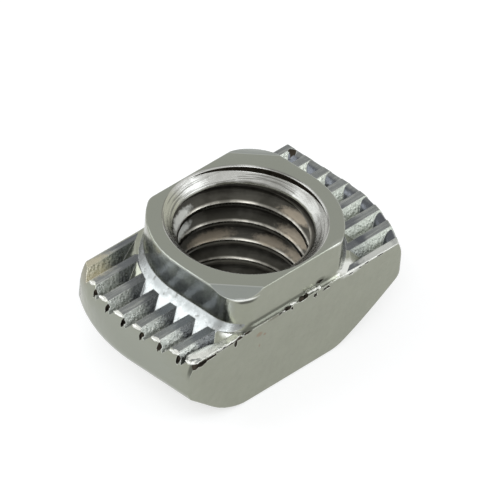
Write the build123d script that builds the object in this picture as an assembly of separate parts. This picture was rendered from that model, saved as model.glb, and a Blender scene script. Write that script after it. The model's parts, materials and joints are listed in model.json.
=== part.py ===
from build123d import *
import os
from math import asin, degrees, radians, tan

# Drop-in T-nut for a slotted aluminium profile, one cold-formed steel piece.
#
# The nut drops through the mouth of the slot lengthwise, then turns a quarter turn with the screw.
# Two opposite corners of the head and of the collar are rounded about the bore, so that they swing
# clear of the slot. The other two stay square and stop the turn.
#
# Millimetres. The origin is on the bore's axis at the flat underside, +Z points up through the
# collar, +X runs along the head and +Y across it. The outline looks the same turned by 180 degrees.

# Outline of head and collar: round about the bore on the swing side, straight and slanted beyond it
stop_slant = 3.5

# Head, the bar that bears on the lips of the slot from inside
head_length = 10.54
head_width = 5.8
head_height = 3.1
head_stop_radius = 0.15
head_swing_radius = 0.2
head_low_radius = 0.1

# End walls of the head, which curve in towards the top, and the bevel under them
end_wall_low = 1.68
end_low_radius = 0.5
end_widest = 2.3
end_crown_radius = 1.8
end_top_radius = 0.08
bevel_angle = 40.0
bevel_blend_radius = 0.9

# Stop corners, where the bevel rolls into the underside more gently
stop_roll_radius = 3.0
stop_roll_angle = 3.2
stop_roll_drop = 0.13

# Collar, the raised block that keys into the mouth of the slot
collar_height = 1.4
collar_length = 6.4
collar_width = 5.52
collar_stop_radius = 0.95
collar_swing_radius = 0.6
collar_foot_radius = 0.22
collar_edge_radius = 0.08

# Rolled-down top corners of the collar, on its two square corners
relief_start = 3.25
relief_angle = 22.0

# Serrations pressed into the tops of the head, on both sides of the collar
groove_pitch = 0.8
groove_width = 0.51
groove_depth = 0.32
groove_end_angle = 40.0
groove_land = 0.03

# Bore for an M5 thread, drilled to the tapping size, and its countersinks
bore_diameter = 4.2
rim_diameter = 5.3
low_rim_diameter = 4.8
countersink_angle = 90.0

# Room that a cutting solid has beyond the faces that it cuts, and that the outline has off the ends
margin = 1.0
outline_gap = 0.01

# How near a corner or an edge has to be to the height or side at which it is looked for
tolerance = 0.001

total_height = head_height + collar_height
bevel_start = head_length / 2 - end_wall_low / tan(radians(bevel_angle))
half_turn = Rot(0, 0, 180)


def side_corners(outline, width, sign):
    """Corners on the long sides: sign 1 for the two square ones, -1 for the two that swing."""
    corners = outline.vertices().filter_by(lambda v: abs(abs(v.Y) - width / 2) < tolerance)
    return corners.filter_by(lambda v: sign * v.X * v.Y > 0)


def turning_outline(length, width, stop_radius, swing_radius):
    """Round about the bore on the swing side, straight on the stop side, with rounded corners."""
    reach = length / 2
    stop = Rot(0, 0, stop_slant) * Rectangle(reach, reach, align=Align.MIN)
    outline = Circle(reach) + stop + half_turn * stop
    outline &= Rectangle(2 * length, width)
    outline = fillet(side_corners(outline, width, 1), stop_radius)
    return fillet(side_corners(outline, width, -1), swing_radius)


def collar_outline():
    return turning_outline(collar_length, collar_width, collar_stop_radius, collar_swing_radius)


def corner_relief():
    """Wedge that rolls the collar's top down at its square corner on the -X, -Y side."""
    wedge = Pos(margin, 0, margin / 2) * Box(2 * margin, collar_length, margin)
    crease = Rot(0, 0, 225) * Pos(relief_start, 0, total_height)
    return crease * Rot(0, relief_angle, 0) * wedge


def collar():
    """Raised block from the underside up, with a softened top edge and rolled corners."""
    block = Pos(0, 0, head_height - margin) * extrude(collar_outline(), collar_height + margin)
    block = fillet(block.edges().group_by(Axis.Z)[-1], collar_edge_radius)
    relief = corner_relief()
    block -= relief
    return block - half_turn * relief


def end_section():
    """Section of half the head: flat underside, bevel, end wall curving in to the top."""
    reach = head_length / 2
    turn = degrees(asin((head_height - end_widest) / end_crown_radius))
    with BuildSketch() as drawing:
        with BuildLine():
            crown = JernArc((reach, end_widest), (0, 1), end_crown_radius, turn)
            Polyline(
                crown @ 1, (0, head_height), (0, 0), (bevel_start, 0), (reach, end_wall_low), crown @ 0
            )
        make_face()
    section = drawing.sketch
    for corner, radius in (
        ((bevel_start, 0), bevel_blend_radius),
        ((reach, end_wall_low), end_low_radius),
        (crown @ 1, end_top_radius),
    ):
        section = fillet(section.vertices().sort_by_distance(corner)[0], radius)
    return section


def stop_roll_section():
    """Section of the space over the underside near a stop corner, where the bevel rolls in sooner."""
    rise = head_length * tan(radians(bevel_angle))
    section = Polygon(
        (0, 0), (bevel_start, 0), (bevel_start + head_length, rise), (0, rise), align=None
    )
    return fillet(section.vertices().sort_by_distance((bevel_start, 0))[0], stop_roll_radius)


def bar():
    """Both ends of the head: turned about the bore on the swing side, straight on the stop side."""
    place = Rot(0, 0, stop_slant) * Plane.XZ.location
    section = place * end_section()
    turned = revolve(section, Axis.Z, -90 - stop_slant)
    along = Vector(0, 1, 0).rotate(Axis.Z, stop_slant)
    upward = along + Vector(0, 0, tan(radians(stop_roll_angle)))
    roll = Pos(0, 0, -stop_roll_drop) * place * stop_roll_section()
    straight = extrude(section, amount=head_length, dir=along)
    straight &= extrude(roll, amount=head_length, dir=upward)
    half = turned + straight
    return half + half_turn * half


def head():
    """Bar cut to the head's width, with rounded corners and softened lower edges."""
    outline = turning_outline(
        head_length + 2 * outline_gap, head_width, head_stop_radius, head_swing_radius
    )
    block = extrude(outline, head_height)
    block = fillet(block.edges().group_by(Axis.Z)[0], head_low_radius)
    return block & bar()


def collar_on_foot():
    """Collar with the concave foot around it, on a pad that lies inside the head."""
    pad = Pos(0, 0, head_height - margin) * extrude(Rectangle(head_length, head_length), margin)
    body = pad + collar()
    foot = body.edges().filter_by_position(Axis.Z, head_height - tolerance, head_height + tolerance)
    foot = foot.filter_by(lambda e: e.center().X ** 2 + e.center().Y ** 2 < (head_length / 2) ** 2)
    body = fillet(foot, collar_foot_radius)
    reach = Pos(0, 0, head_height - margin) * extrude(
        offset(collar_outline(), collar_foot_radius), collar_height + margin
    )
    slab = extrude(Rectangle(head_length, head_width), total_height)
    return body & reach & slab


def serrations():
    """V grooves along both wings, ending in slopes that follow the collar's outline."""
    flare = groove_width / 2 / groove_depth
    over = groove_depth / 4
    top = groove_width / 2 + over * flare
    tooth = Plane.YZ * Polygon((0, -groove_depth), (top, over), (-top, over), align=None)
    groove = extrude(tooth, head_length, both=True)
    count = int(head_width / groove_pitch)
    rows = [Pos(0, (k - (count - 1) / 2) * groove_pitch, head_height) * groove for k in range(count)]
    run = 1 / tan(radians(groove_end_angle))
    guard_outline = offset(collar_outline(), collar_foot_radius + groove_land - over * run)
    guard = Pos(0, 0, head_height + over) * extrude(
        guard_outline, -(groove_depth + 2 * over), taper=groove_end_angle - 90
    )
    return [row - guard for row in rows]


def countersink(diameter):
    """Cone from the bore up to the mouth at height zero, and room above it."""
    depth = (diameter - bore_diameter) / 2 / tan(radians(countersink_angle / 2))
    sink = Cone(bore_diameter / 2, diameter / 2, depth, align=(Align.CENTER, Align.CENTER, Align.MAX))
    return sink + Cylinder(diameter / 2, margin, align=(Align.CENTER, Align.CENTER, Align.MIN))


def bore():
    """Tapping-size bore with a countersink at each mouth."""
    hole = Pos(0, 0, total_height / 2) * Cylinder(bore_diameter / 2, total_height + 2 * margin)
    upper = Pos(0, 0, total_height) * countersink(rim_diameter)
    return hole + upper + Rot(180, 0, 0) * countersink(low_rim_diameter)


def t_nut():
    nut = head() + collar_on_foot()
    for groove in serrations():
        nut -= groove
    return nut - bore()


os.makedirs("parts", exist_ok=True)
nut = t_nut()
nut.label = "t_nut"
export_step(nut, "parts/t_nut.step")
print("t_nut volume", round(nut.volume, 3), "box", nut.bounding_box())
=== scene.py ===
# %% [markdown]
# # A drop-in nut for a slotted profile
#
# The nut is one small piece of cold-formed, plated steel, 10.5 mm long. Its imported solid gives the
# main shape. This lesson cuts the thread into it, adds the ramp, the rolled rim and the torn edges
# that forming leaves, and gives the steel its finish. A pale studio stands round it.

# %% Load the frame
import json
from math import cos, pi, radians, sin, tau

import bmesh
import bpy
from mathutils import Matrix, Vector, noise
from mathutils.bvhtree import BVHTree

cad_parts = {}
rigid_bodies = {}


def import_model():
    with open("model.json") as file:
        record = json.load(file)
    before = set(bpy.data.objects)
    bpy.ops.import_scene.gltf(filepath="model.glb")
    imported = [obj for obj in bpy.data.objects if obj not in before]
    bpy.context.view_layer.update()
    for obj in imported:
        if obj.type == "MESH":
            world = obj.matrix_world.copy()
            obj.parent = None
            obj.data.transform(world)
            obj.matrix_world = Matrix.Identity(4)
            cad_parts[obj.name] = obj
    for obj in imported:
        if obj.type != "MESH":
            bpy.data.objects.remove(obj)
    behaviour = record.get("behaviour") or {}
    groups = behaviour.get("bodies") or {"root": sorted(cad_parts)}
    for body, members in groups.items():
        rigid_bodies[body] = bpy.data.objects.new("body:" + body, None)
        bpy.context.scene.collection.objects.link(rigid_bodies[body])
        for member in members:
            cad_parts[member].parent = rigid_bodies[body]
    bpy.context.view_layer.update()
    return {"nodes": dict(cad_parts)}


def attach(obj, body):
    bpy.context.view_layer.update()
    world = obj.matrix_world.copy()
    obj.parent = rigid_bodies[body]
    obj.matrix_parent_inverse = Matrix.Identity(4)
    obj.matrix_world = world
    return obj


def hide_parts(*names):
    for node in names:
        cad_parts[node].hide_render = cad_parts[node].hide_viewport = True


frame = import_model()
node = frame["nodes"]["t_nut"]
print("packed solid has", len(node.data.polygons), "triangles")

# %% [markdown]
# ## Camera
#
# The photo looks down on one corner of the nut from about 40 degrees up, through a long lens, so
# the long edges stay nearly parallel. The camera is placed by its bearing round the nut, its
# height angle, a slight roll, and where the bore's axis meets the floor in its view.

# %% Place the camera
MM = 0.001
BEARING, HEIGHT, ROLL = radians(47.84), radians(40.593), radians(5.201)
DISTANCE, ASIDE, BELOW = 304.448 * MM, -0.4529 * MM, 2.4181 * MM
SENSOR = 36.0
FOCAL_PIXELS, PICTURE_SIDE = 9451.55, 500
LENS = FOCAL_PIXELS / PICTURE_SIDE * SENSOR

back = Vector((-sin(BEARING) * cos(HEIGHT), -cos(BEARING) * cos(HEIGHT), sin(HEIGHT)))
level = Vector((cos(BEARING), -sin(BEARING), 0))
upright = back.cross(level)
right = level * cos(ROLL) + upright * sin(ROLL)
up = upright * cos(ROLL) - level * sin(ROLL)

lens = bpy.data.cameras.new("camera")
lens.lens, lens.sensor_width = LENS, SENSOR
lens.clip_start, lens.clip_end = 0.01, 10
camera = bpy.data.objects.new("camera", lens)
bpy.context.scene.collection.objects.link(camera)
turn = Matrix((right, up, back)).transposed().to_4x4()
place = back * DISTANCE - right * ASIDE + up * BELOW
camera.matrix_world = Matrix.Translation(place) @ turn
bpy.context.scene.camera = camera
print("camera at", [round(c, 4) for c in place])

# %% [markdown]
# ## Floor
#
# The nut lies on white paper. A grey sheet would look dull and a lit one would throw light on the
# nut, so the paper glows only for the camera and for what mirrors it. It keeps the nut's shadow.

# %% Lay the floor
FLOOR_SIDE = 0.8
FLOOR_DROP = 0.01 * MM

floor_mesh = bmesh.new()
bmesh.ops.create_grid(floor_mesh, x_segments=1, y_segments=1, size=FLOOR_SIDE / 2)
bmesh.ops.translate(floor_mesh, verts=floor_mesh.verts, vec=(0, 0, -FLOOR_DROP))


def add_object(name, shape):
    """Turns a bmesh into an object in the scene."""
    mesh = bpy.data.meshes.new(name)
    shape.to_mesh(mesh)
    shape.free()
    made = bpy.data.objects.new(name, mesh)
    bpy.context.scene.collection.objects.link(made)
    return made


floor = add_object("floor", floor_mesh)
print("floor is", FLOOR_SIDE, "m wide")


# %% Make the paper
FLOOR_GREY, FLOOR_ROUGH, FLOOR_GLOW = 0.5, 0.9, 0.62


def wire(tree, source, target):
    """Joins an output to an input."""
    tree.links.new(source, target)


def set_input(tree, socket, entry):
    """Wires a socket, or sets its value if the entry is plain."""
    if isinstance(entry, bpy.types.NodeSocket):
        wire(tree, entry, socket)
    else:
        socket.default_value = entry


def math_node(tree, operation, first, second=None, third=None):
    """Adds a Math node. Each input is a socket or a number."""
    node = tree.nodes.new("ShaderNodeMath")
    node.operation = operation
    for index, entry in enumerate((first, second, third)):
        if entry is not None:
            set_input(tree, node.inputs[index], entry)
    return node.outputs[0]


def seen_directly(tree):
    """1 for a ray from the camera or from a mirror, and 0 for soft light."""
    rays = tree.nodes.new("ShaderNodeLightPath").outputs
    mirrored = math_node(tree, "MAXIMUM", rays["Is Glossy Ray"], rays["Is Transmission Ray"])
    return math_node(tree, "MAXIMUM", rays["Is Camera Ray"], mirrored)


paper = bpy.data.materials.new("paper")
paper.use_nodes = True
tree = paper.node_tree
surface = tree.nodes["Principled BSDF"]
surface.inputs["Base Color"].default_value = (FLOOR_GREY, FLOOR_GREY, FLOOR_GREY, 1)
surface.inputs["Roughness"].default_value = FLOOR_ROUGH
surface.inputs["Specular IOR Level"].default_value = 0
surface.inputs["Emission Color"].default_value = (1, 1, 1, 1)
glow = math_node(tree, "MULTIPLY", seen_directly(tree), FLOOR_GLOW)
wire(tree, glow, surface.inputs["Emission Strength"])
floor.data.materials.append(paper)
print("paper glows", FLOOR_GLOW, "for the camera and mirrors")

# %% [markdown]
# ## Light
#
# Bare metal shows little but what it mirrors, so the surroundings matter more than the lamps:
# everything round the nut is white. Four soft lamps brighten what faces them: two behind the nut,
# one in front on the right, and a wide one over the camera.

# %% Light the room
ROOM_LIGHT, ROOM_WHITE = 0.6, 1.0


def remap(tree, value, low, high, to_low, to_high):
    """Turns the range from low to high into another range, and stops at its ends."""
    node = tree.nodes.new("ShaderNodeMapRange")
    for title, entry in (("Value", value), ("From Min", low), ("From Max", high),
                         ("To Min", to_low), ("To Max", to_high)):
        set_input(tree, node.inputs[title], entry)
    return node.outputs["Result"]


world = bpy.data.worlds.new("studio")
bpy.context.scene.world = world
world.use_nodes = True
tree = world.node_tree
backdrop = tree.nodes["Background"]
backdrop.inputs["Color"].default_value = (1, 1, 1, 1)
strength = remap(tree, seen_directly(tree), 0.0, 1.0, ROOM_LIGHT, ROOM_WHITE)
wire(tree, strength, backdrop.inputs["Strength"])
print("room lights the nut at", ROOM_LIGHT)

# %% Hang the lamps
COOL = (0.92, 0.95, 1.0)


def soft_lamp(name, direction, distance, side, brightness):
    """Square lamp that looks at the nut from a direction. Its face is that many times white."""
    data = bpy.data.lights.new(name, "AREA")
    data.shape = "SQUARE"
    data.size = side
    data.energy = brightness * pi * side * side
    data.color = COOL
    lamp = bpy.data.objects.new(name, data)
    bpy.context.scene.collection.objects.link(lamp)
    aim = Vector(direction).normalized()
    facing_nut = aim.to_track_quat("Z", "Y").to_matrix().to_4x4()
    lamp.matrix_world = Matrix.Translation(aim * distance) @ facing_nut


# Each lamp: the way to it from the nut, how far off it is, its side and its brightness
soft_lamp("lamp_back_left", (-0.58, 0.51, 0.63), 0.2, 0.11, 2.6)
soft_lamp("lamp_back", (-0.28, 0.86, 0.42), 0.2, 0.08, 2.0)
soft_lamp("lamp_front_right", (0.56, -0.68, 0.47), 0.2, 0.10, 2.4)
soft_lamp("lamp_over_camera", (-0.48, -0.44, 0.76), 0.5, 0.25, 2.6)
bpy.context.scene.view_settings.view_transform = "Standard"
print("four soft lamps and a white room")

# %% [markdown]
# ## Finishes
#
# Plated steel is a plain metal. What makes it look real is how its tone and sheen vary. One shared
# group gives every finish its skin: a soft change of tone, an uneven sheen and a fine grain. A second
# puts a patch with a ragged edge at a place, for stains and for painted highlights and shadows alike.
# A third gives the rings that a turning tool leaves. The finishes come before the modelling, because
# each tool that cuts the nut leaves its own finish.

# %% Make the node helpers
def vector_node(tree, operation, first, second=(0, 0, 0)):
    """Adds a Vector Math node. Each input is a socket or a plain value."""
    node = tree.nodes.new("ShaderNodeVectorMath")
    node.operation = operation
    set_input(tree, node.inputs[0], first)
    set_input(tree, node.inputs["Scale" if operation == "SCALE" else 1], second)
    return node.outputs["Value" if operation in ("LENGTH", "DOT_PRODUCT") else 0]


def split(tree, vector):
    """The X, Y and Z of a vector."""
    node = tree.nodes.new("ShaderNodeSeparateXYZ")
    wire(tree, vector, node.inputs[0])
    return node.outputs


def noise_node(tree, vector, scale, detail=3.0, rough=0.5):
    """Adds a Noise node over a vector and returns its value."""
    node = tree.nodes.new("ShaderNodeTexNoise")
    node.inputs["Detail"].default_value = detail
    node.inputs["Roughness"].default_value = rough
    set_input(tree, node.inputs["Scale"], scale)
    set_input(tree, node.inputs["Vector"], vector)
    return node.outputs["Fac"]


def mix_colour(tree, share, first, second):
    """Mixes two colours. A colour mix has its share at input 0 and its colours at 6 and 7."""
    node = tree.nodes.new("ShaderNodeMix")
    node.data_type = "RGBA"
    for index, entry in ((0, share), (6, first), (7, second)):
        set_input(tree, node.inputs[index], entry)
    return node.outputs[2]


# %% Find places on the nut
def in_millimetres(tree):
    """Object coordinates in millimetres."""
    place = tree.nodes.new("ShaderNodeTexCoord")
    return vector_node(tree, "SCALE", place.outputs["Object"], 1 / MM)


def off_axis(tree):
    """Distance from the bore's axis, in millimetres."""
    return vector_node(tree, "LENGTH", vector_node(tree, "MULTIPLY", in_millimetres(tree), (1, 1, 0)))


def beyond_collar(tree):
    """Distance from the bore's axis on the rounded sides, and along X alone on the square ones."""
    apart = split(tree, in_millimetres(tree))
    side = math_node(tree, "MULTIPLY", math_node(tree, "SIGN", apart["X"]), apart["Y"])
    rounded = math_node(tree, "MAXIMUM", math_node(tree, "MULTIPLY", side, -1.0), 0.0)
    flat = tree.nodes.new("ShaderNodeCombineXYZ")
    wire(tree, apart["X"], flat.inputs["X"])
    wire(tree, rounded, flat.inputs["Y"])
    return vector_node(tree, "LENGTH", flat.outputs[0])


# %% Build the shared groups
FLOAT, COLOUR, VECTOR = "NodeSocketFloat", "NodeSocketColor", "NodeSocketVector"


def new_group(name, inputs, outputs):
    """Makes a node group and returns its tree with its two end nodes."""
    made = bpy.data.node_groups.new(name, "ShaderNodeTree")
    for title, kind, value in inputs:
        made.interface.new_socket(title, in_out="INPUT", socket_type=kind).default_value = value
    for title, kind in outputs:
        made.interface.new_socket(title, in_out="OUTPUT", socket_type=kind)
    return made, made.nodes.new("NodeGroupInput").outputs, made.nodes.new("NodeGroupOutput").inputs


skin, given, result = new_group("steel_skin", [
    ("Tone", COLOUR, (0.5, 0.5, 0.5, 1)), ("Tone Spread", FLOAT, 0.1),
    ("Sheen Low", FLOAT, 0.2), ("Sheen High", FLOAT, 0.3), ("Grain Size", FLOAT, 0.03),
], [("Color", COLOUR), ("Roughness", FLOAT), ("Height", FLOAT)])
at = in_millimetres(skin)
blotch = noise_node(skin, at, 1.3, detail=5, rough=0.6)
cloud = noise_node(skin, at, 6.0, detail=4, rough=0.65)
fine = noise_node(skin, at, math_node(skin, "DIVIDE", 1.0, given["Grain Size"]), detail=2)
shade = math_node(skin, "SUBTRACT", math_node(skin, "ADD", blotch, cloud), 1.0)
factor = math_node(skin, "MULTIPLY_ADD", shade, given["Tone Spread"], 1.0)
wire(skin, vector_node(skin, "SCALE", given["Tone"], factor), result["Color"])
sheen = remap(skin, cloud, 0.3, 0.7, given["Sheen Low"], given["Sheen High"])
wire(skin, sheen, result["Roughness"])
wire(skin, math_node(skin, "ADD", fine, cloud), result["Height"])

stain_and_light, given, result = new_group("ragged_stain_and_light", [
    ("Centre", VECTOR, (0, 0, 0)), ("Reach", VECTOR, (0.1, 0.1, 0.1)), ("Raggedness", FLOAT, 0.6),
], [("Mask", FLOAT)])
at = in_millimetres(stain_and_light)
away = vector_node(stain_and_light, "SUBTRACT", at, given["Centre"])
length = vector_node(stain_and_light, "LENGTH", vector_node(stain_and_light, "DIVIDE", away, given["Reach"]))
wobble = math_node(stain_and_light, "SUBTRACT", noise_node(stain_and_light, at, 7.0, detail=4, rough=0.7), 0.5)
ragged = math_node(stain_and_light, "MULTIPLY_ADD", wobble, given["Raggedness"], length)
wire(stain_and_light, remap(stain_and_light, ragged, 0.6, 1.1, 1.0, 0.0), result["Mask"])

rings, given, result = new_group("tool_rings", [("Rings", FLOAT, 18.0)], [("Height", FLOAT)])
apart = split(rings, in_millimetres(rings))
ringed = rings.nodes.new("ShaderNodeCombineXYZ")
for axis in "XY":
    wire(rings, math_node(rings, "MULTIPLY", apart[axis], 0.35), ringed.inputs[axis])
wire(rings, math_node(rings, "MULTIPLY", apart["Z"], given["Rings"]), ringed.inputs["Z"])
wire(rings, noise_node(rings, ringed.outputs[0], 1.0, detail=3, rough=0.7), result["Height"])
print("groups:", skin.name, stain_and_light.name, rings.name)

# %% [markdown]
# ## Bare metal
#
# Eight finishes of steel would be eight materials with much in common, so one function makes the
# metal that all of them share. A Bevel node rounds the edges a little and paints them lighter, as wear
# and as a painted highlight, and Ambient Occlusion paints shade into the corners. Each finish then
# lays its own colours and reliefs over that.

# %% Make a bare metal
WORN_EDGE = 0.045
# Edges are painted this lighter colour, as wear and as a painted highlight
WORN_HIGHLIGHT = (0.72, 0.73, 0.68, 1)
# How far the painted shade from Ambient Occlusion reaches into corners, and its colour
CORNER_SHADE_REACH = 0.35
PAINTED_CORNER_SHADE = (0.06, 0.058, 0.05, 1)


def add_group(tree, group, settings):
    """Places a shared group with its own values and returns its outputs."""
    placed = tree.nodes.new("ShaderNodeGroup")
    placed.node_tree = group
    for title, value in settings:
        placed.inputs[title].default_value = value
    return placed.outputs


def recolour(material, share, colour):
    """Mixes one more colour over the one that the shader has."""
    tree = material.node_tree
    target = tree.nodes["Principled BSDF"].inputs["Base Color"]
    wire(tree, mix_colour(tree, share, target.links[0].from_socket, colour), target)


def add_bump(material, height, relief):
    """Puts one more relief, in millimetres, over the one that the shader has."""
    tree = material.node_tree
    target = tree.nodes["Principled BSDF"].inputs["Normal"]
    bump = tree.nodes.new("ShaderNodeBump")
    bump.inputs["Distance"].default_value = relief * MM
    wire(tree, height, bump.inputs["Height"])
    wire(tree, target.links[0].from_socket, bump.inputs["Normal"])
    wire(tree, bump.outputs["Normal"], target)


def new_steel(name, tone, spread, sheen, relief, corner_shade, wear_highlight=0.6, edge=WORN_EDGE):
    """A bare metal with the shared skin, edges painted as wear and highlight, and painted shade in
    corners.
    """
    made = bpy.data.materials.new(name)
    made.use_nodes = True
    tree = made.node_tree
    shader = tree.nodes["Principled BSDF"]
    shader.inputs["Metallic"].default_value = 1
    cover = add_group(tree, skin, [
        ("Tone", (*tone, 1)), ("Tone Spread", spread),
        ("Sheen Low", sheen[0]), ("Sheen High", sheen[1]),
    ])
    wire(tree, cover["Color"], shader.inputs["Base Color"])
    wire(tree, cover["Roughness"], shader.inputs["Roughness"])
    corner = tree.nodes.new("ShaderNodeAmbientOcclusion")
    corner.samples, corner.only_local = 4, True
    corner.inputs["Distance"].default_value = CORNER_SHADE_REACH * MM
    worn = tree.nodes.new("ShaderNodeBevel")
    worn.samples = 6
    worn.inputs["Radius"].default_value = edge * MM
    unworn = tree.nodes.new("ShaderNodeNewGeometry")
    alike = vector_node(tree, "DOT_PRODUCT", worn.outputs["Normal"], unworn.outputs["Normal"])
    outside = remap(tree, corner.outputs["AO"], 0.6, 0.9, 0.0, wear_highlight)
    on_edge = remap(tree, alike, 0.995, 0.9, 0.0, 1.0)
    # Edges are painted lighter: partly wear, partly a painted highlight
    recolour(made, math_node(tree, "MULTIPLY", on_edge, outside), WORN_HIGHLIGHT)
    # Corners are darkened from Ambient Occlusion: painted shade
    recolour(made, remap(tree, corner.outputs["AO"], 0.15, 0.7, corner_shade, 0.0), PAINTED_CORNER_SHADE)
    wire(tree, worn.outputs["Normal"], shader.inputs["Normal"])
    add_bump(made, cover["Height"], relief)
    return made


# %% Mark a place
# Rust and brown are the metal's own colours. The pale and bright ones are painted highlights, and the
# dull dark one is painted shadow.
RUST, BROWN, PALE_HIGHLIGHT = (0.24, 0.13, 0.07, 1), (0.27, 0.22, 0.14, 1), (0.62, 0.63, 0.59, 1)
BRIGHT_HIGHLIGHT, SHADOW_TONE = (0.80, 0.81, 0.77, 1), (0.10, 0.104, 0.085, 1)


def add_mark(material, place, reach, strength, colour, raggedness=0.6):
    """Puts a ragged patch of another colour at a place on the nut."""
    tree = material.node_tree
    patch = add_group(tree, stain_and_light, [("Centre", place), ("Reach", reach), ("Raggedness", raggedness)])
    recolour(material, math_node(tree, "MULTIPLY", patch["Mask"], strength), colour)


# %% [markdown]
# ## Plated faces
#
# The walls, the bevels and the top of the collar are satin plating. They are a little wavy, as a
# struck face is. The left walls are painted paler than the front, as lit sides, rust specks sit on the
# front, and the collar's near corner has a painted highlight on its edge with a painted shadow line
# under it. Marks at places give all that, as well as painted highlights and shadows on other edges.

# %% Plate the outside
# The plane of the nut's near long side
FRONT = -2.9

plated = new_steel(
    "plated_steel", tone=(0.28, 0.29, 0.235), spread=0.16, sheen=(0.16, 0.24), relief=0.0006, corner_shade=0.5
)
tree = plated.node_tree
add_bump(plated, noise_node(tree, in_millimetres(tree), 2.2, detail=2), 0.018)
# Each mark: place, reach, strength and colour
STAINS_AND_PAINTED_LIGHT = [
    # The collar's left wall and the left end, painted paler as lit sides
    ((-3.2, -0.5, 3.95), (0.5, 2.6, 0.7), 0.8, (0.34, 0.355, 0.36, 1)),
    ((-5.2, 0.0, 2.2), (0.5, 3.2, 1.1), 0.7, (0.305, 0.32, 0.28, 1)),
    # Rust specks on the front, and the brown far corner
    ((-2.05, FRONT, 2.72), (0.16, 0.2, 0.10), 0.45, RUST),
    ((-1.80, FRONT, 2.60), (0.07, 0.2, 0.05), 0.5, RUST),
    ((-2.0, FRONT, 2.22), (0.05, 0.2, 0.07), 0.4, RUST),
    ((-4.3, 2.6, 3.0), (0.7, 0.5, 0.5), 0.35, BROWN),
    # Darker patches along the collar's foot
    ((0.76, -2.78, 3.34), (0.24, 0.2, 0.13), 0.7, (0.10, 0.105, 0.08, 1)),
    ((-1.42, FRONT, 3.07), (0.3, 0.2, 0.06), 0.6, (0.13, 0.12, 0.08, 1)),
    # A painted highlight on the near corner's edge and a painted shadow line under it
    ((-2.58, -2.62, 4.28), (0.55, 0.4, 0.055), 0.9, BRIGHT_HIGHLIGHT),
    ((-2.52, -2.66, 4.19), (0.40, 0.3, 0.07), 0.85, (0.07, 0.07, 0.06, 1)),
    # The right corner's edge with a painted highlight, a painted shadow beside it, and a painted
    # highlight fanning out at its foot
    ((1.5, -2.7, 4.47), (0.5, 0.13, 0.07), 0.9, PALE_HIGHLIGHT),
    ((2.02, -2.6, 3.7), (0.14, 0.3, 0.5), 0.5, SHADOW_TONE),
    ((2.1, -2.7, 3.17), (0.65, 0.35, 0.28), 0.9, BRIGHT_HIGHLIGHT),
    # Painted highlights along the head's pale edges
    ((3.3, FRONT, 3.09), (1.4, 0.2, 0.035), 1.0, PALE_HIGHLIGHT),
    ((-3.4, -2.6, 3.12), (0.6, 0.35, 0.14), 0.9, PALE_HIGHLIGHT),
]
for place, reach, strength, colour in STAINS_AND_PAINTED_LIGHT:
    add_mark(plated, place, reach, strength, colour)
print("plated steel with", len(STAINS_AND_PAINTED_LIGHT), "marks")

# %% [markdown]
# ## Collar
#
# The top of the collar has a tone of its own, a little darker, as painted shade. Its two square corners
# were rolled down. They are painted a little bluer, as a painted reflection, with a painted highlight
# on the crease where they start. The foot of the long sides is painted dark, as shade. These follow the
# form exactly, so they are found by height, by distance and by which way a face looks, and not by
# marks.

# %% Colour the collar
COLLAR_TOP_SHADE = (0.25, 0.262, 0.225, 1)
CREASE, CREASE_HALF = 3.25, 0.035
ROLLED_REFLECTION, CREASE_HIGHLIGHT = (0.265, 0.285, 0.275, 1), (0.42, 0.44, 0.42, 1)
CORNER_WAY = (cos(radians(45)), sin(radians(45)), 0)

apart = split(tree, in_millimetres(tree))
facing = split(tree, tree.nodes.new("ShaderNodeNewGeometry").outputs["Normal"])
# The top is painted a little darker, as shade
recolour(plated, remap(tree, apart["Z"], 4.44, 4.49, 0.0, 0.9), COLLAR_TOP_SHADE)
towards = vector_node(tree, "DOT_PRODUCT", in_millimetres(tree), CORNER_WAY)
outward = math_node(tree, "ABSOLUTE", towards)
rolled_reflection = remap(tree, outward, CREASE, CREASE + CREASE_HALF, 0.0, 0.7)
off_crease = math_node(tree, "ABSOLUTE", math_node(tree, "SUBTRACT", outward, CREASE))
crease = remap(tree, off_crease, 0.0, CREASE_HALF, 0.7, 0.0)
high_up = remap(tree, apart["Z"], 4.0, 4.1, 0.0, 1.0)
on_top = math_node(tree, "MULTIPLY", remap(tree, facing["Z"], 0.80, 0.90, 0.0, 1.0), high_up)
# The rolled corners get a painted bluer reflection, and their crease a painted highlight
recolour(plated, math_node(tree, "MULTIPLY", rolled_reflection, on_top), ROLLED_REFLECTION)
recolour(plated, math_node(tree, "MULTIPLY", crease, on_top), CREASE_HIGHLIGHT)
# The narrow foot of the long sides is painted dark as shade, up to where it fans out at the square
# corners
along_side = math_node(tree, "MULTIPLY", math_node(tree, "SIGN", apart["Y"]), apart["X"])
foot_shade = remap(tree, along_side, -1.3, -1.0, 0.0, 0.9)
for value, start, end in ((facing["Z"], 0.03, 0.25), (apart["Z"], 3.45, 3.35),
                          (math_node(tree, "ABSOLUTE", apart["Y"]), 2.70, 2.76)):
    foot_shade = math_node(tree, "MULTIPLY", foot_shade, remap(tree, value, start, end, 0.0, 1.0))
recolour(plated, foot_shade, SHADOW_TONE)
print("crease at", CREASE, "mm from the bore's axis")

# %% [markdown]
# ## Wings
#
# The lands on the wings were pressed, which left them darker, with streaks along the grooves. The
# grooves' flanks were struck rough, so they get a cell pattern under a fine noise. Both darken
# towards the collar with a jagged edge, and the far left corner is brown.

# %% Press the lands
SHADED = (0.07, 0.075, 0.085, 1)

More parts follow.
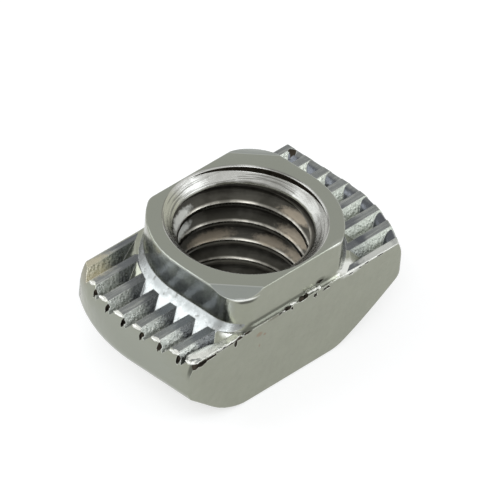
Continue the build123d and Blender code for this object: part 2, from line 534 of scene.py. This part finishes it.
pressed = new_steel(
    "pressed_steel", tone=(0.19, 0.20, 0.195), spread=0.45, sheen=(0.20, 0.34), relief=0.0015, corner_shade=0.6
)
tree = pressed.node_tree
drawn_out = vector_node(tree, "MULTIPLY", in_millimetres(tree), (0.8, 9.0, 1.0))
streaks = noise_node(tree, drawn_out, 1.0, detail=4, rough=0.7)
recolour(pressed, remap(tree, streaks, 0.5, 0.75, 0.0, 0.8), (0.40, 0.41, 0.38, 1))
add_bump(pressed, noise_node(tree, in_millimetres(tree), 8.0, detail=3), 0.01)
jagged = math_node(tree, "MULTIPLY_ADD", streaks, 0.8, beyond_collar(tree))
recolour(pressed, remap(tree, jagged, 4.7, 4.4, 0.0, 0.6), SHADED)
under_rim = remap(tree, split(tree, in_millimetres(tree))["Z"], 3.045, 3.075, 0.85, 0.0)
recolour(pressed, under_rim, SHADED)
# The brown end, the pale near corner, a painted highlight on the near end on the right and a painted
# shadow on the end of a land there
for place, reach, strength, colour in [
    ((-4.2, 2.55, 3.0), (1.0, 0.5, 0.5), 0.9, (0.46, 0.43, 0.32, 1)),
    ((-3.7, -2.75, 3.1), (1.1, 0.34, 0.3), 0.9, (0.80, 0.80, 0.75, 1)),
    ((3.4, -2.75, 3.1), (1.0, 0.25, 0.3), 0.7, PALE_HIGHLIGHT),
    ((3.35, -1.9, 3.1), (0.22, 0.5, 0.2), 0.8, SHADED),
]:
    add_mark(pressed, place, reach, strength, colour, raggedness=1.0)
print("made", pressed.name)

# %% Strike the flanks
STRUCK_CELLS, STRUCK_RELIEF = 10.0, 0.014

struck = new_steel(
    "struck_steel", tone=(0.38, 0.40, 0.37), spread=0.5, sheen=(0.18, 0.40), relief=0.002, corner_shade=0.8
)
tree = struck.node_tree
at = in_millimetres(tree)
cells = tree.nodes.new("ShaderNodeTexVoronoi")
cells.inputs["Scale"].default_value = STRUCK_CELLS
wire(tree, at, cells.inputs["Vector"])
add_bump(struck, cells.outputs["Distance"], STRUCK_RELIEF)
add_bump(struck, noise_node(tree, at, 18.0, detail=4, rough=0.7), STRUCK_RELIEF)
glints = remap(tree, noise_node(tree, at, 11.0, detail=3), 0.54, 0.70, 0.0, 0.6)
recolour(struck, glints, (0.68, 0.69, 0.64, 1))
uneven = noise_node(tree, at, 4.0, detail=4, rough=0.7)
jagged = math_node(tree, "MULTIPLY_ADD", uneven, 0.8, beyond_collar(tree))
recolour(struck, remap(tree, jagged, 4.75, 4.4, 0.0, 0.8), SHADED)
# The even right wing, its paler far part, and the brown far corner of the left one
add_mark(struck, (4.0, 0.0, 3.0), (1.9, 3.6, 0.7), 0.75, (0.37, 0.395, 0.345, 1))
add_mark(struck, (4.0, 1.6, 3.0), (1.0, 1.3, 0.6), 0.5, (0.55, 0.57, 0.50, 1))
add_mark(struck, (-4.2, 2.5, 3.0), (0.8, 0.5, 0.5), 0.8, (0.62, 0.58, 0.45, 1))
print("made", struck.name)

# %% [markdown]
# ## Countersinks
#
# A turning tool left fine dark rings in the countersinks, so they share the group of rings, both as
# relief and as colour. Next to the bore's wall they end in a frayed dark line.

# %% Turn the countersinks
turned = new_steel(
    "turned_steel", tone=(0.45, 0.45, 0.425), spread=0.15, sheen=(0.20, 0.32), relief=0.0006, corner_shade=0.3
)
tree = turned.node_tree
lines = add_group(tree, rings, [("Rings", 15.0)])["Height"]
# The right side painted darker, as shade, and the greenish far left
add_mark(turned, (2.45, -0.3, 4.3), (1.3, 1.9, 0.7), 0.85, (0.27, 0.27, 0.25, 1))
add_mark(turned, (-1.5, 1.9, 4.3), (1.2, 1.0, 0.6), 0.7, (0.36, 0.365, 0.27, 1))
add_bump(turned, lines, 0.008)
recolour(turned, remap(tree, lines, 0.50, 0.58, 0.0, 0.75), (0.13, 0.128, 0.115, 1))
fraying = noise_node(tree, in_millimetres(tree), 3.0)
frayed = math_node(tree, "MULTIPLY_ADD", fraying, 0.07, off_axis(tree))
recolour(turned, remap(tree, frayed, 2.315, 2.345, 0.85, 0.0), (0.05, 0.05, 0.035, 1))
print("made", turned.name)

# %% [markdown]
# ## Oiled thread
#
# Old oil and painted shade darken the thread by depth from the bore's axis: the flat of each crest,
# the flanks and the roots. Patches at bearings round the bore lighten some flanks, tan where the oil
# is thin and pale as painted reflections. The worn edges are left out here, because they would draw
# a bright line on each crest.

# %% Oil the thread
BORE_RADIUS = 2.1
OIL_AND_SHADE, FILM = (0.035, 0.033, 0.026, 1), (0.30, 0.26, 0.20, 1)
PATCH_RADIUS = 2.25
# Lighter patches on the flanks, tan where the oil is thin and pale as painted reflections: bearing in
# degrees, height, length along, height of it
THIN_OIL_AND_GLEAMS = [
    (-2, 3.42, 0.7, 0.10, FILM), (-8, 2.62, 0.9, 0.14, FILM), (-14, 1.84, 0.9, 0.14, FILM),
    (114, 3.62, 0.85, 0.09, PALE_HIGHLIGHT), (108, 2.85, 0.75, 0.08, PALE_HIGHLIGHT),
    (72, 1.95, 0.9, 0.12, FILM), (20, 1.86, 0.6, 0.12, FILM),
]

tapped = new_steel(
    "tapped_steel", tone=(0.50, 0.48, 0.42), spread=0.45, sheen=(0.16, 0.30), relief=0.001, corner_shade=0.2,
    wear_highlight=0.0, edge=0.001,
)
tree = tapped.node_tree
depth = off_axis(tree)
fading = noise_node(tree, in_millimetres(tree), 1.1, detail=3, rough=0.6)
recolour(tapped, remap(tree, fading, 0.42, 0.56, 0.0, 0.75), (0.12, 0.115, 0.10, 1))
# The flat of each crest is painted dark, as painted shade
recolour(tapped, remap(tree, depth, BORE_RADIUS + 0.004, BORE_RADIUS + 0.014, 0.9, 0.0), OIL_AND_SHADE)
# Flanks and roots darken with depth: old oil, and painted shade in the thread's hollows
oil_and_shade = remap(tree, depth, BORE_RADIUS + 0.01, BORE_RADIUS + 0.09, 0.0, 0.9)
recolour(tapped, oil_and_shade, OIL_AND_SHADE)
for bearing, height, long, high, colour in THIN_OIL_AND_GLEAMS:
    place = (PATCH_RADIUS * cos(radians(bearing)), PATCH_RADIUS * sin(radians(bearing)), height)
    add_mark(tapped, place, (long, long, high), 0.85, colour, raggedness=1.2)
sheen_socket = tree.nodes["Principled BSDF"].inputs["Roughness"]
dry_sheen = sheen_socket.links[0].from_socket
wire(tree, math_node(tree, "MULTIPLY_ADD", oil_and_shade, 0.25, dry_sheen), sheen_socket)
add_bump(tapped, add_group(tree, rings, [("Rings", 14.0)])["Height"], 0.005)
print("tapped steel with", len(THIN_OIL_AND_GLEAMS), "patches of thin oil")

# %% [markdown]
# ## Ramp, tears and painted shadow
#
# The ramp at the collar's foot was coined, so it is pale, with a darker upper edge and small dark
# pits, and a painted highlight fans out at its right foot. Fresh tears are bright, and the notches
# beside them are painted nearly black, as shadow.

# %% Coin, tear and paint the shadow
coined = new_steel(
    "coined_steel", tone=(0.37, 0.385, 0.375), spread=0.45, sheen=(0.22, 0.38), relief=0.002, corner_shade=0.4,
    wear_highlight=0.3,
)
tree = coined.node_tree
at = in_millimetres(tree)
wobble = noise_node(tree, at, 3.0, detail=4, rough=0.7)
uneven = math_node(tree, "MULTIPLY_ADD", wobble, 0.5, split(tree, at)["Z"])
recolour(coined, remap(tree, uneven, 3.33, 3.5, 0.0, 0.75), (0.20, 0.21, 0.205, 1))
pits = remap(tree, noise_node(tree, at, 5.5, detail=3), 0.62, 0.68, 0.0, 0.7)
recolour(coined, pits, (0.10, 0.10, 0.09, 1))
# A painted highlight fanning out at the collar's right foot
add_mark(coined, (2.1, -2.7, 3.17), (0.65, 0.35, 0.28), 0.9, BRIGHT_HIGHLIGHT)
torn = new_steel(
    "torn_steel", tone=(0.72, 0.73, 0.68), spread=0.6, sheen=(0.16, 0.34), relief=0.003, corner_shade=0.3
)
# Nearly black steel: painted shadow in the notches, the hollow and the askew sink's upright wall
painted_shadow = new_steel(
    "painted_shadow_steel", tone=(0.045, 0.038, 0.028), spread=0.4, sheen=(0.35, 0.55), relief=0.003, corner_shade=0.5,
    wear_highlight=0.0,
)
steels = (plated, pressed, struck, turned, tapped, coined, torn, painted_shadow)
print("finishes:", [made.name for made in steels])

# %% [markdown]
# ## Body
#
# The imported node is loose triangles. A welded copy of it becomes the visible body, and the work on
# it is done in millimetres, where the modelling operators are at their most exact. The wings' tops
# and grooves get their finishes here, by where a face lies and which way it faces.

# %% Weld a copy of the solid
WELD = 0.0005


def open_edge_count(shape):
    """Counts the edges that don't lie between exactly two faces."""
    return len([e for e in shape.edges if len(e.link_faces) != 2])


body_mesh = bmesh.new()
body_mesh.from_mesh(node.data)
bmesh.ops.scale(body_mesh, verts=body_mesh.verts, vec=(1 / MM, 1 / MM, 1 / MM))
bmesh.ops.remove_doubles(body_mesh, verts=body_mesh.verts, dist=WELD)
print("welded body:", len(body_mesh.verts), "points,", open_edge_count(body_mesh), "open edges")
body = add_object("t_nut_body", body_mesh)
body.data.attributes.remove(body.data.attributes["custom_normal"])

# %% Give the wings their finishes
GROOVE_FLOOR, LAND, LAND_SLACK = 2.76, 3.1, 0.02
WING_STARTS = 2.7
# How much a land looks up, and how much a groove's flank looks aside and up
LAND_UP, FLANK_ASIDE, FLANK_UP = 0.95, 0.6, 0.3

body.data.materials.clear()
for finish in (plated, pressed, struck):
    body.data.materials.append(finish)
counts = [0, 0, 0]
for face in body.data.polygons:
    centre, facing = face.center, face.normal
    on_wing = abs(centre.x) > WING_STARTS and GROOVE_FLOOR < centre.z < LAND + LAND_SLACK
    if on_wing and facing.z > LAND_UP:
        face.material_index = 1
    elif on_wing and abs(facing.y) > FLANK_ASIDE and facing.z > FLANK_UP:
        face.material_index = 2
    counts[face.material_index] += 1
print("faces that are plated, pressed, struck:", counts)


# %% Combine a tool with the body
def combine(tool, operation, finish=None, crossing=False):
    """Adds a closed tool to the body or takes it away. Only the tool's finish is left of it."""
    if finish:
        tool.data.materials.append(finish)
    change = body.modifiers.new("change", "BOOLEAN")
    change.operation, change.solver, change.object = operation, "EXACT", tool
    change.material_mode, change.use_self = "TRANSFER", crossing
    bpy.context.view_layer.update()
    changed = bpy.data.meshes.new_from_object(
        body.evaluated_get(bpy.context.evaluated_depsgraph_get())
    )
    body.modifiers.clear()
    body.data = changed
    check = bmesh.new()
    check.from_mesh(changed)
    left = (len(check.faces), "faces,", open_edge_count(check), "open edges")
    print(operation.lower(), tool.name, "leaves", *left)
    check.free()
    bpy.data.objects.remove(tool)


# %% [markdown]
# ## Bore
#
# The solid's bore has coarse facets that would spoil a thread. It is plugged, and opened again once
# the ramp at the collar's foot is on. A turned tool of many steps does both, because a spin of an
# outline gives every cone and cylinder at once.

# %% Plug the bore
STEPS = 120
LOW_RIM, RIM = 2.42, 2.67
TOP = 4.5
PLUG_RADIUS, PLUG_LOW, PLUG_HIGH = 2.62, 0.03, 4.46


def turned_tool(name, outline, start_degrees=0, turns=1.0, climb=0.0):
    """Turns (radius, height) points round the bore: a full circle from axis to axis, or a climb."""
    shape = bmesh.new()
    corners = [shape.verts.new((radius, 0, height)) for radius, height in outline]
    start = Matrix.Rotation(radians(start_degrees), 3, "Z")
    bmesh.ops.rotate(shape, verts=shape.verts, cent=(0, 0, 0), matrix=start)
    whole = climb == 0
    if whole:
        drawn = corners + [shape.edges.new(pair) for pair in zip(corners, corners[1:])]
    else:
        drawn = [shape.faces.new(corners)]
    steps = round(abs(turns) * STEPS)
    bmesh.ops.spin(
        shape, geom=drawn, cent=(0, 0, 0), axis=(0, 0, 1),
        dvec=(0, 0, climb * turns / steps), angle=turns * tau, steps=steps, use_merge=whole,
    )
    bmesh.ops.remove_doubles(shape, verts=shape.verts, dist=WELD)
    bmesh.ops.recalc_face_normals(shape, faces=shape.faces)
    print(name, "has", len(shape.faces), "faces,", open_edge_count(shape), "open edges")
    return add_object(name, shape)


plug_outline = [
    (0, PLUG_LOW), (PLUG_RADIUS, PLUG_LOW), (PLUG_RADIUS, PLUG_HIGH), (0, PLUG_HIGH),
]
combine(turned_tool("plug", plug_outline), "UNION", plated)

# %% [markdown]
# ## Foot of the collar
#
# The press left a ramp all round the foot of the collar, and the grooves end in it. The ramp is the
# collar's own outline, taken where a plane cuts the body, drawn down and out into a skirt.

# %% Add the ramp
CUT_HEIGHT = 3.6
RAMP_TOP, RAMP_LOW = 3.35, 2.74
RAMP_START, RAMP_SPREAD = (0.992, 0.992, 1), (1.235, 1.0, 1)


def points_of(items):
    """The points among the parts that an extrusion gives back."""
    return [item for item in items if isinstance(item, bmesh.types.BMVert)]


ramp = bmesh.new()
ramp.from_mesh(body.data)
bmesh.ops.bisect_plane(
    ramp, geom=ramp.verts[:] + ramp.edges[:] + ramp.faces[:], plane_co=(0, 0, CUT_HEIGHT),
    plane_no=(0, 0, 1), clear_inner=True, clear_outer=True,
)
cap = bmesh.ops.contextual_create(ramp, geom=ramp.edges[:])["faces"]
bmesh.ops.translate(ramp, verts=ramp.verts, vec=(0, 0, RAMP_TOP - CUT_HEIGHT))
low = points_of(bmesh.ops.extrude_face_region(ramp, geom=cap)["geom"])
upper = [v for v in ramp.verts if v not in low]
bmesh.ops.scale(ramp, verts=upper, vec=RAMP_START)
bmesh.ops.scale(ramp, verts=low, vec=RAMP_SPREAD)
bmesh.ops.translate(ramp, verts=low, vec=(0, 0, RAMP_LOW - RAMP_TOP))
bmesh.ops.recalc_face_normals(ramp, faces=ramp.faces)
print("ramp has", len(ramp.faces), "faces,", open_edge_count(ramp), "open edges")
combine(add_object("ramp", ramp), "UNION", coined)

# %% [markdown]
# ## Mouth of the bore
#
# From below the bore has a countersink, the wall at the tapping size, a short wider neck, the upper
# countersink and a small broken edge at the rim. The upper countersink was struck a little askew,
# which leaves a crescent under the far rim, so a second sink is tilted by a few degrees. The
# crescent's upright wall is painted nearly black, as shadow.

# %% Open the bore again
NECK_RADIUS, NECK_LOW, NECK_STEP = 2.25, 3.90, 0.04
BREAK_WIDTH, BREAK_DEPTH = 0.045, 0.025
SPARE = 1.0
FLARE_RISE = SPARE / 8
NECK_SLACK = 0.01

sink_low = LOW_RIM - BORE_RADIUS
sink_high = TOP - (RIM - NECK_RADIUS)
flare = RIM + BREAK_WIDTH * (1 + FLARE_RISE / BREAK_DEPTH)
bore_outline = [
    (0, -SPARE), (LOW_RIM + SPARE, -SPARE), (BORE_RADIUS, sink_low), (BORE_RADIUS, NECK_LOW),
    (NECK_RADIUS, NECK_LOW + NECK_STEP), (NECK_RADIUS, sink_high),
    (RIM - BREAK_DEPTH, TOP - BREAK_DEPTH), (flare, TOP + FLARE_RISE),
    (flare, TOP + SPARE), (0, TOP + SPARE),
]
bore_tool = turned_tool("bore_tool", bore_outline)
for finish in (turned, tapped):
    bore_tool.data.materials.append(finish)
for face in bore_tool.data.polygons:
    face.material_index = 1 if face.center.xy.length < NECK_RADIUS + NECK_SLACK else 0
combine(bore_tool, "DIFFERENCE")

# %% Strike the askew sink
ASKEW_RADIUS, ASKEW_STEEPNESS = 2.63, 0.8
ASKEW_DEGREES, ASKEW_TOWARDS = 7.5, 27
ASKEW_RAISE = 0.12
UPRIGHT_WALL = 0.2

askew_outline = [
    (0, -ASKEW_STEEPNESS * ASKEW_RADIUS), (ASKEW_RADIUS, 0), (ASKEW_RADIUS, SPARE), (0, SPARE),
]
askew = turned_tool("askew_sink", askew_outline)
lean = Vector((cos(radians(ASKEW_TOWARDS + 90)), sin(radians(ASKEW_TOWARDS + 90)), 0))
askew.data.transform(
    Matrix.Translation((0, 0, TOP + ASKEW_RAISE)) @ Matrix.Rotation(radians(ASKEW_DEGREES), 4, lean)
)
# The upright wall of the askew sink is painted nearly black, as the crescent's shadow
for finish in (turned, painted_shadow):
    askew.data.materials.append(finish)
for face in askew.data.polygons:
    face.material_index = 1 if abs(face.normal.z) < UPRIGHT_WALL else 0
combine(askew, "DIFFERENCE")

# %% [markdown]
# ## Thread
#
# A tap cuts the real thread: a 60 degree groove that climbs 0.8 mm a turn. The same tap is swept
# here as a closed tube and taken away from the body. Its tooth flares at the mouth, so that each
# crest is left narrow and rounded on top, as a worn tap leaves it. The groove runs out through the
# underside. At the top it stops in the countersink with a square end, where a real one would fade.

# %% Cut the thread
PITCH = 0.8
FAR_DEGREES = 43.5
GROOVE_AT_FAR = 3.723
TURNS_UP, TURNS_DOWN = 0.525, 5.4
# The tooth's lower and upper side, from inside the bore to its root: radius, and half its width there
TOOTH_LOWER = [
    (2.0, 0.39), (2.1, 0.375), (2.106, 0.352), (2.12, 0.33), (2.15, 0.30), (2.2, 0.268), (2.44, 0.13),
    (2.48, 0.10), (2.5, 0.05),
]
TOOTH_UPPER = [(2.0, 0.36), (2.1, 0.345), (2.44, 0.13), (2.48, 0.10), (2.5, 0.05)]

lowest = GROOVE_AT_FAR - TURNS_DOWN * PITCH
tooth = [(radius, lowest - half) for radius, half in TOOTH_LOWER]
tooth += [(radius, lowest + half) for radius, half in reversed(TOOTH_UPPER)]
tap = turned_tool("tap", tooth, FAR_DEGREES - TURNS_DOWN * 360, TURNS_DOWN + TURNS_UP, PITCH)
combine(tap, "DIFFERENCE", tapped)

# %% [markdown]
# ## Rolled rim
#
# On the right wing the grooves don't reach the end: the forming tool rolled the metal there down over
# them. A low wedge along the end fills them. It is turned about the bore's axis on the rounded
# side and then drawn straight along the square side, as the end itself is.

# %% Fill the right ends of the grooves
STOP_SLANT = 3.5
# The wedge's section: distance from the bore's axis and height
RIM_WEDGE = [
    (4.52, 2.70), (4.74, 2.97), (4.86, 3.05), (4.97, 3.08),
    (5.05, 3.08), (5.10, 3.04), (5.14, 2.96), (5.19, 2.70),
]
WEDGE_FROM = -31.5
WEDGE_STRAIGHT, WEDGE_CLIMB = 2.53, 0.015
WEDGE_SAG, WEDGE_STEPS = 0.07, 24

wedge = bmesh.new()
corners = [wedge.verts.new((radius, 0, height - WEDGE_SAG)) for radius, height in RIM_WEDGE]
turned_back = Matrix.Rotation(radians(WEDGE_FROM), 3, "Z")
bmesh.ops.rotate(wedge, verts=corners, cent=(0, 0, 0), matrix=turned_back)
spun = bmesh.ops.spin(
    wedge, geom=[wedge.faces.new(corners)], cent=(0, 0, 0), axis=(0, 0, 1),
    angle=radians(STOP_SLANT - WEDGE_FROM), steps=WEDGE_STEPS, dvec=(0, 0, WEDGE_SAG / WEDGE_STEPS),
)
last = [item for item in spun["geom_last"] if isinstance(item, bmesh.types.BMFace)]
drawn = bmesh.ops.extrude_face_region(wedge, geom=last)["geom"]
along = Vector((-sin(radians(STOP_SLANT)), cos(radians(STOP_SLANT)), 0)) * WEDGE_STRAIGHT
along.z = WEDGE_CLIMB
bmesh.ops.translate(wedge, verts=points_of(drawn), vec=along)
bmesh.ops.delete(wedge, geom=last, context="FACES")
bmesh.ops.recalc_face_normals(wedge, faces=wedge.faces)
print("rim wedge:", len(wedge.faces), "faces,", open_edge_count(wedge), "open edges")
combine(add_object("rim_wedge", wedge), "UNION", pressed)

# %% [markdown]
# ## Torn edges
#
# Where the tool pushed metal out past an edge it left small bright lips and curls, and beside them
# notches painted nearly black as shadow, with a hollow at the far right corner. Notches are little
# ragged lumps taken out of the body, and lips are the same lumps added to it. Each lump is a ball,
# pushed about by noise and stretched. Their places were chosen one by one, so each kind has its own
# short list.

# %% Shape a ragged lump
LUMP_DETAIL, LUMP_WAVES = 2, 1.7
# A lump's seed moves it to another part of the noise, which gives it a shape of its own
SEED_ALONG, SEED_ACROSS = 3.7, 1.3
# Held lumps stop behind the front, each at a depth of its own, so that no two flat sides coincide
HOLD_STEP, HOLD_DEPTHS = 0.001, 30


def add_lump(shape, centre, size, turned_by, seed, ragged, held=False):
    """Adds a ragged ball, stretched to its half-sizes, turned and placed. It can be held back."""
    ball = bmesh.ops.create_icosphere(shape, subdivisions=LUMP_DETAIL, radius=1)["verts"]
    for v in ball:
        shift = Vector((seed * SEED_ALONG, seed * SEED_ACROSS, 0))
        v.co *= 1 + ragged * noise.noise(v.co * LUMP_WAVES + shift)
    spread = Matrix.Diagonal((*size, 1))
    placed = Matrix.Translation(centre) @ Matrix.Rotation(radians(turned_by), 4, "Z") @ spread
    bmesh.ops.transform(shape, matrix=placed, verts=ball)
    if held:
        for v in ball:
            v.co.y = max(v.co.y, FRONT + HOLD_STEP * (1 + seed % HOLD_DEPTHS))


# %% Find the edges the lumps sit on
FAR_LEFT = -8

finder = bmesh.new()
finder.from_mesh(body.data)
surface_tree = BVHTree.FromBMesh(finder)
print("found among", len(finder.faces), "faces")
finder.free()


def end_wall(y, height):
    """Where the left end wall is, at a place across the nut and a height."""
    return surface_tree.ray_cast(Vector((FAR_LEFT, y, height)), Vector((1, 0, 0)))[0]


# %% Tear the left end and the front
# Places across the nut where a groove tore the left end open
TEARS = [1.78, 1.01, 0.19, -0.63, -1.40, -2.21]
TEAR_HEIGHT, TEAR_SHIFT, TEAR_SIZE = 2.86, Vector((0.02, -0.03, 0.06)), (0.10, 0.08, 0.18)
# Each nick in the front: place along the nut, height, half-sizes. The first five are the torn corner.
FRONT_NICKS = [
    (-4.88, 2.97, (0.22, 0.14, 0.12)), (-4.60, 2.95, (0.24, 0.13, 0.12)),
    (-4.22, 3.0, (0.24, 0.10, 0.09)), (-3.75, 3.05, (0.25, 0.07, 0.06)),
    (-3.35, 3.06, (0.22, 0.07, 0.05)), (-3.12, 2.93, (0.07, 0.06, 0.15)),
    (-2.98, 3.06, (0.16, 0.06, 0.05)), (-2.6, 3.08, (0.2, 0.05, 0.035)),
    (2.02, 3.0, (0.10, 0.04, 0.03)), (2.45, 3.03, (0.06, 0.04, 0.03)),
    (2.75, 3.06, (0.10, 0.05, 0.03)), (3.35, 3.06, (0.16, 0.05, 0.03)),
]

notches = bmesh.new()
for number, side in enumerate(TEARS):
    spot = end_wall(side, TEAR_HEIGHT) + TEAR_SHIFT
    add_lump(notches, spot, TEAR_SIZE, turned_by=-12, seed=number, ragged=0.5)
for number, (along_nut, height, size) in enumerate(FRONT_NICKS):
    place = Vector((along_nut, FRONT, height))
    add_lump(notches, place, size, turned_by=0, seed=20 + number, ragged=0.4)
print("notches so far:", len(notches.faces), "faces")

# %% Tear the collar's foot and hollow the far corner
# Each gap in the torn foot of the collar: place along, depth behind the front, height, half-sizes
FOOT_GAPS = [
    (-1.12, 0.0, 3.08, (0.12, 0.05, 0.04)), (-0.82, 0.02, 3.09, (0.19, 0.08, 0.07)),
    (-0.62, 0.0, 3.0, (0.06, 0.06, 0.06)), (-0.10, 0.03, 3.13, (0.24, 0.09, 0.08)),
    (0.43, 0.0, 2.98, (0.08, 0.08, 0.09)), (0.92, 0.0, 3.01, (0.15, 0.08, 0.06)),
    (0.74, 0.14, 3.30, (0.16, 0.06, 0.05)),
]
HOLLOW, HOLLOW_SIZE = (4.58, 2.46, 3.12), (0.32, 0.18, 0.13)

for number, (along_nut, depth, height, size) in enumerate(FOOT_GAPS):
    place = Vector((along_nut, FRONT + depth, height))
    add_lump(notches, place, size, turned_by=0, seed=40 + number, ragged=0.8)
add_lump(notches, Vector(HOLLOW), HOLLOW_SIZE, turned_by=20, seed=50, ragged=0.6)
print("notches:", len(notches.faces), "faces")
# The notches and the hollow are painted nearly black, as shadow
combine(add_object("notches", notches), "DIFFERENCE", painted_shadow, crossing=True)

# %% Push up the lips on the left end and the near corner
# Each lip on the left end: the middle of it across the nut and half its length
END_LIPS = [(1.98, 0.13), (1.20, 0.20), (0.37, 0.20), (-0.46, 0.19), (-1.26, 0.19), (-2.08, 0.20)]
LIP_HEIGHT, LIP_ASIDE, LIP_SHIFT = 3.0, 0.05, Vector((0.03, 0, 0.06))
LIP_DEPTH, LIP_TALL = 0.09, 0.06
# The torn plate and lip at the near corner: place, half-sizes
CORNER_LIP = [
    (-4.30, -2.66, 3.07, (0.75, 0.20, 0.06)), (-4.97, -2.66, 3.04, (0.09, 0.15, 0.07)),
    (-4.84, -2.80, 3.06, (0.18, 0.10, 0.05)), (-4.58, -2.82, 3.06, (0.18, 0.09, 0.05)),
    (-4.32, -2.83, 3.06, (0.18, 0.09, 0.05)), (-4.07, -2.85, 3.06, (0.16, 0.08, 0.05)),
    (-3.80, -2.86, 3.06, (0.16, 0.07, 0.045)), (-3.50, -2.86, 3.07, (0.15, 0.07, 0.04)),
    (-3.25, -2.86, 3.07, (0.12, 0.07, 0.04)),
]

lips = bmesh.new()
for number, (side, half) in enumerate(END_LIPS):
    spot = end_wall(side + LIP_ASIDE, LIP_HEIGHT) + LIP_SHIFT
    add_lump(lips, spot, (LIP_DEPTH, half, LIP_TALL), turned_by=8, seed=40 + number, ragged=0.5)
for number, (x, y, z, size) in enumerate(CORNER_LIP):
    place = Vector((x, y, z))
    add_lump(lips, place, size, turned_by=-4, seed=60 + number, ragged=0.5, held=True)
print("lips so far:", len(lips.faces), "faces")

# %% Curl the metal at the collar's foot
# Each curl of metal on the torn foot of the collar: place along the nut, depth, height, half-sizes
FOOT_CURLS = [
    (-0.98, 0.05, 3.06, (0.09, 0.07, 0.035)), (-0.53, 0.06, 3.14, (0.13, 0.10, 0.07)),
    (-0.20, 0.03, 3.01, (0.14, 0.06, 0.04)), (0.20, 0.08, 3.22, (0.14, 0.13, 0.045)),
    (0.45, 0.08, 3.20, (0.15, 0.13, 0.05)), (0.66, 0.06, 3.10, (0.07, 0.09, 0.09)),
    (1.12, 0.06, 3.10, (0.20, 0.09, 0.03)), (1.42, 0.06, 3.11, (0.18, 0.08, 0.025)),
]

for number, (along_nut, depth, height, size) in enumerate(FOOT_CURLS):
    place = Vector((along_nut, FRONT + depth, height))
    add_lump(lips, place, size, turned_by=0, seed=73 + number, ragged=0.5, held=True)
print("lips:", len(lips.faces), "faces")
combine(add_object("lips", lips), "UNION", torn, crossing=True)

# %% [markdown]
# ## Hand over
#
# The body goes back to metres, gets clean shading, and rides on the nut's only body. It takes the
# place of the plain solid. Edges where two finishes meet stay sharp, so that a tear doesn't shade
# the wide face that it lies in.

# %% Finish the body
SHARP = radians(30)

body.data.transform(Matrix.Scale(MM, 4))
body.data.shade_smooth()
body.data.set_sharp_from_angle(angle=SHARP)
finish_mesh = bmesh.new()
finish_mesh.from_mesh(body.data)
for rim_edge in finish_mesh.edges:
    if len({face.material_index for face in rim_edge.link_faces}) > 1:
        rim_edge.smooth = False
print("body:", len(finish_mesh.faces), "faces,", open_edge_count(finish_mesh), "open edges")
finish_mesh.to_mesh(body.data)
finish_mesh.free()
even = body.modifiers.new("even_shading", "WEIGHTED_NORMAL")
even.keep_sharp = True
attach(body, "root")
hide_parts("t_nut")
